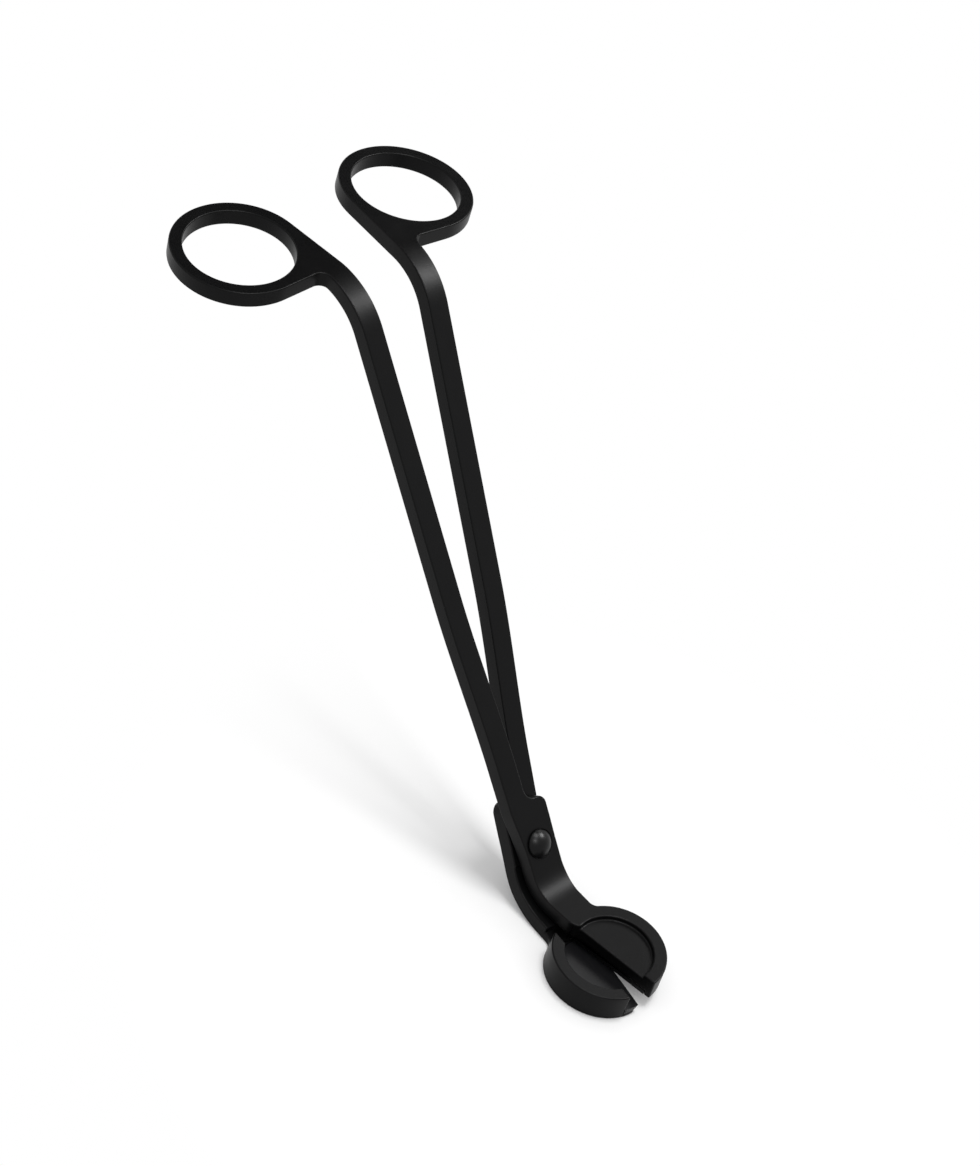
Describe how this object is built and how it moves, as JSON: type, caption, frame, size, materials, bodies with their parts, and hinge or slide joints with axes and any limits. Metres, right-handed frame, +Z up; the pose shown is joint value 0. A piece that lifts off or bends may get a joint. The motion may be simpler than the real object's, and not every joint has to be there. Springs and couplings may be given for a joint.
{
  "type": "wick trimmer",
  "caption": "Scissor-type candle wick trimmer with cranked arms, round finger loops and a half-round debris tray head.",
  "frame": {"origin": "under the middle of the lower arm's half of the head, on the flat face that the head rests on", "axes": "+X across the tool towards the lower arm's finger loop, +Y from the head towards the finger loops, +Z up, square to the lower head half"},
  "size_m": [0.0746, 0.1587, 0.1044],
  "materials": {
    "black_arm": "satin black coating",
    "black_blade": "satin black coating",
    "black_rivet": "semi-gloss black coating",
    "steel_washer": "plain"
  },
  "bodies": {
    "lower": {"lower_arm": "black_arm", "lower_blade": "black_blade", "pivot_rivet": "black_rivet", "pivot_washer": "steel_washer"},
    "upper": {"upper_arm": "black_arm", "upper_blade": "black_blade"}
  },
  "joints": [
    {"name": "rivet_hinge", "type": "hinge", "parent": "lower", "child": "upper", "pos_m": [0, 0.02877, 0.0122], "axis": [0, -0.7431, 0.6691], "range_deg": [-6.4, 23.6]}
  ]
}
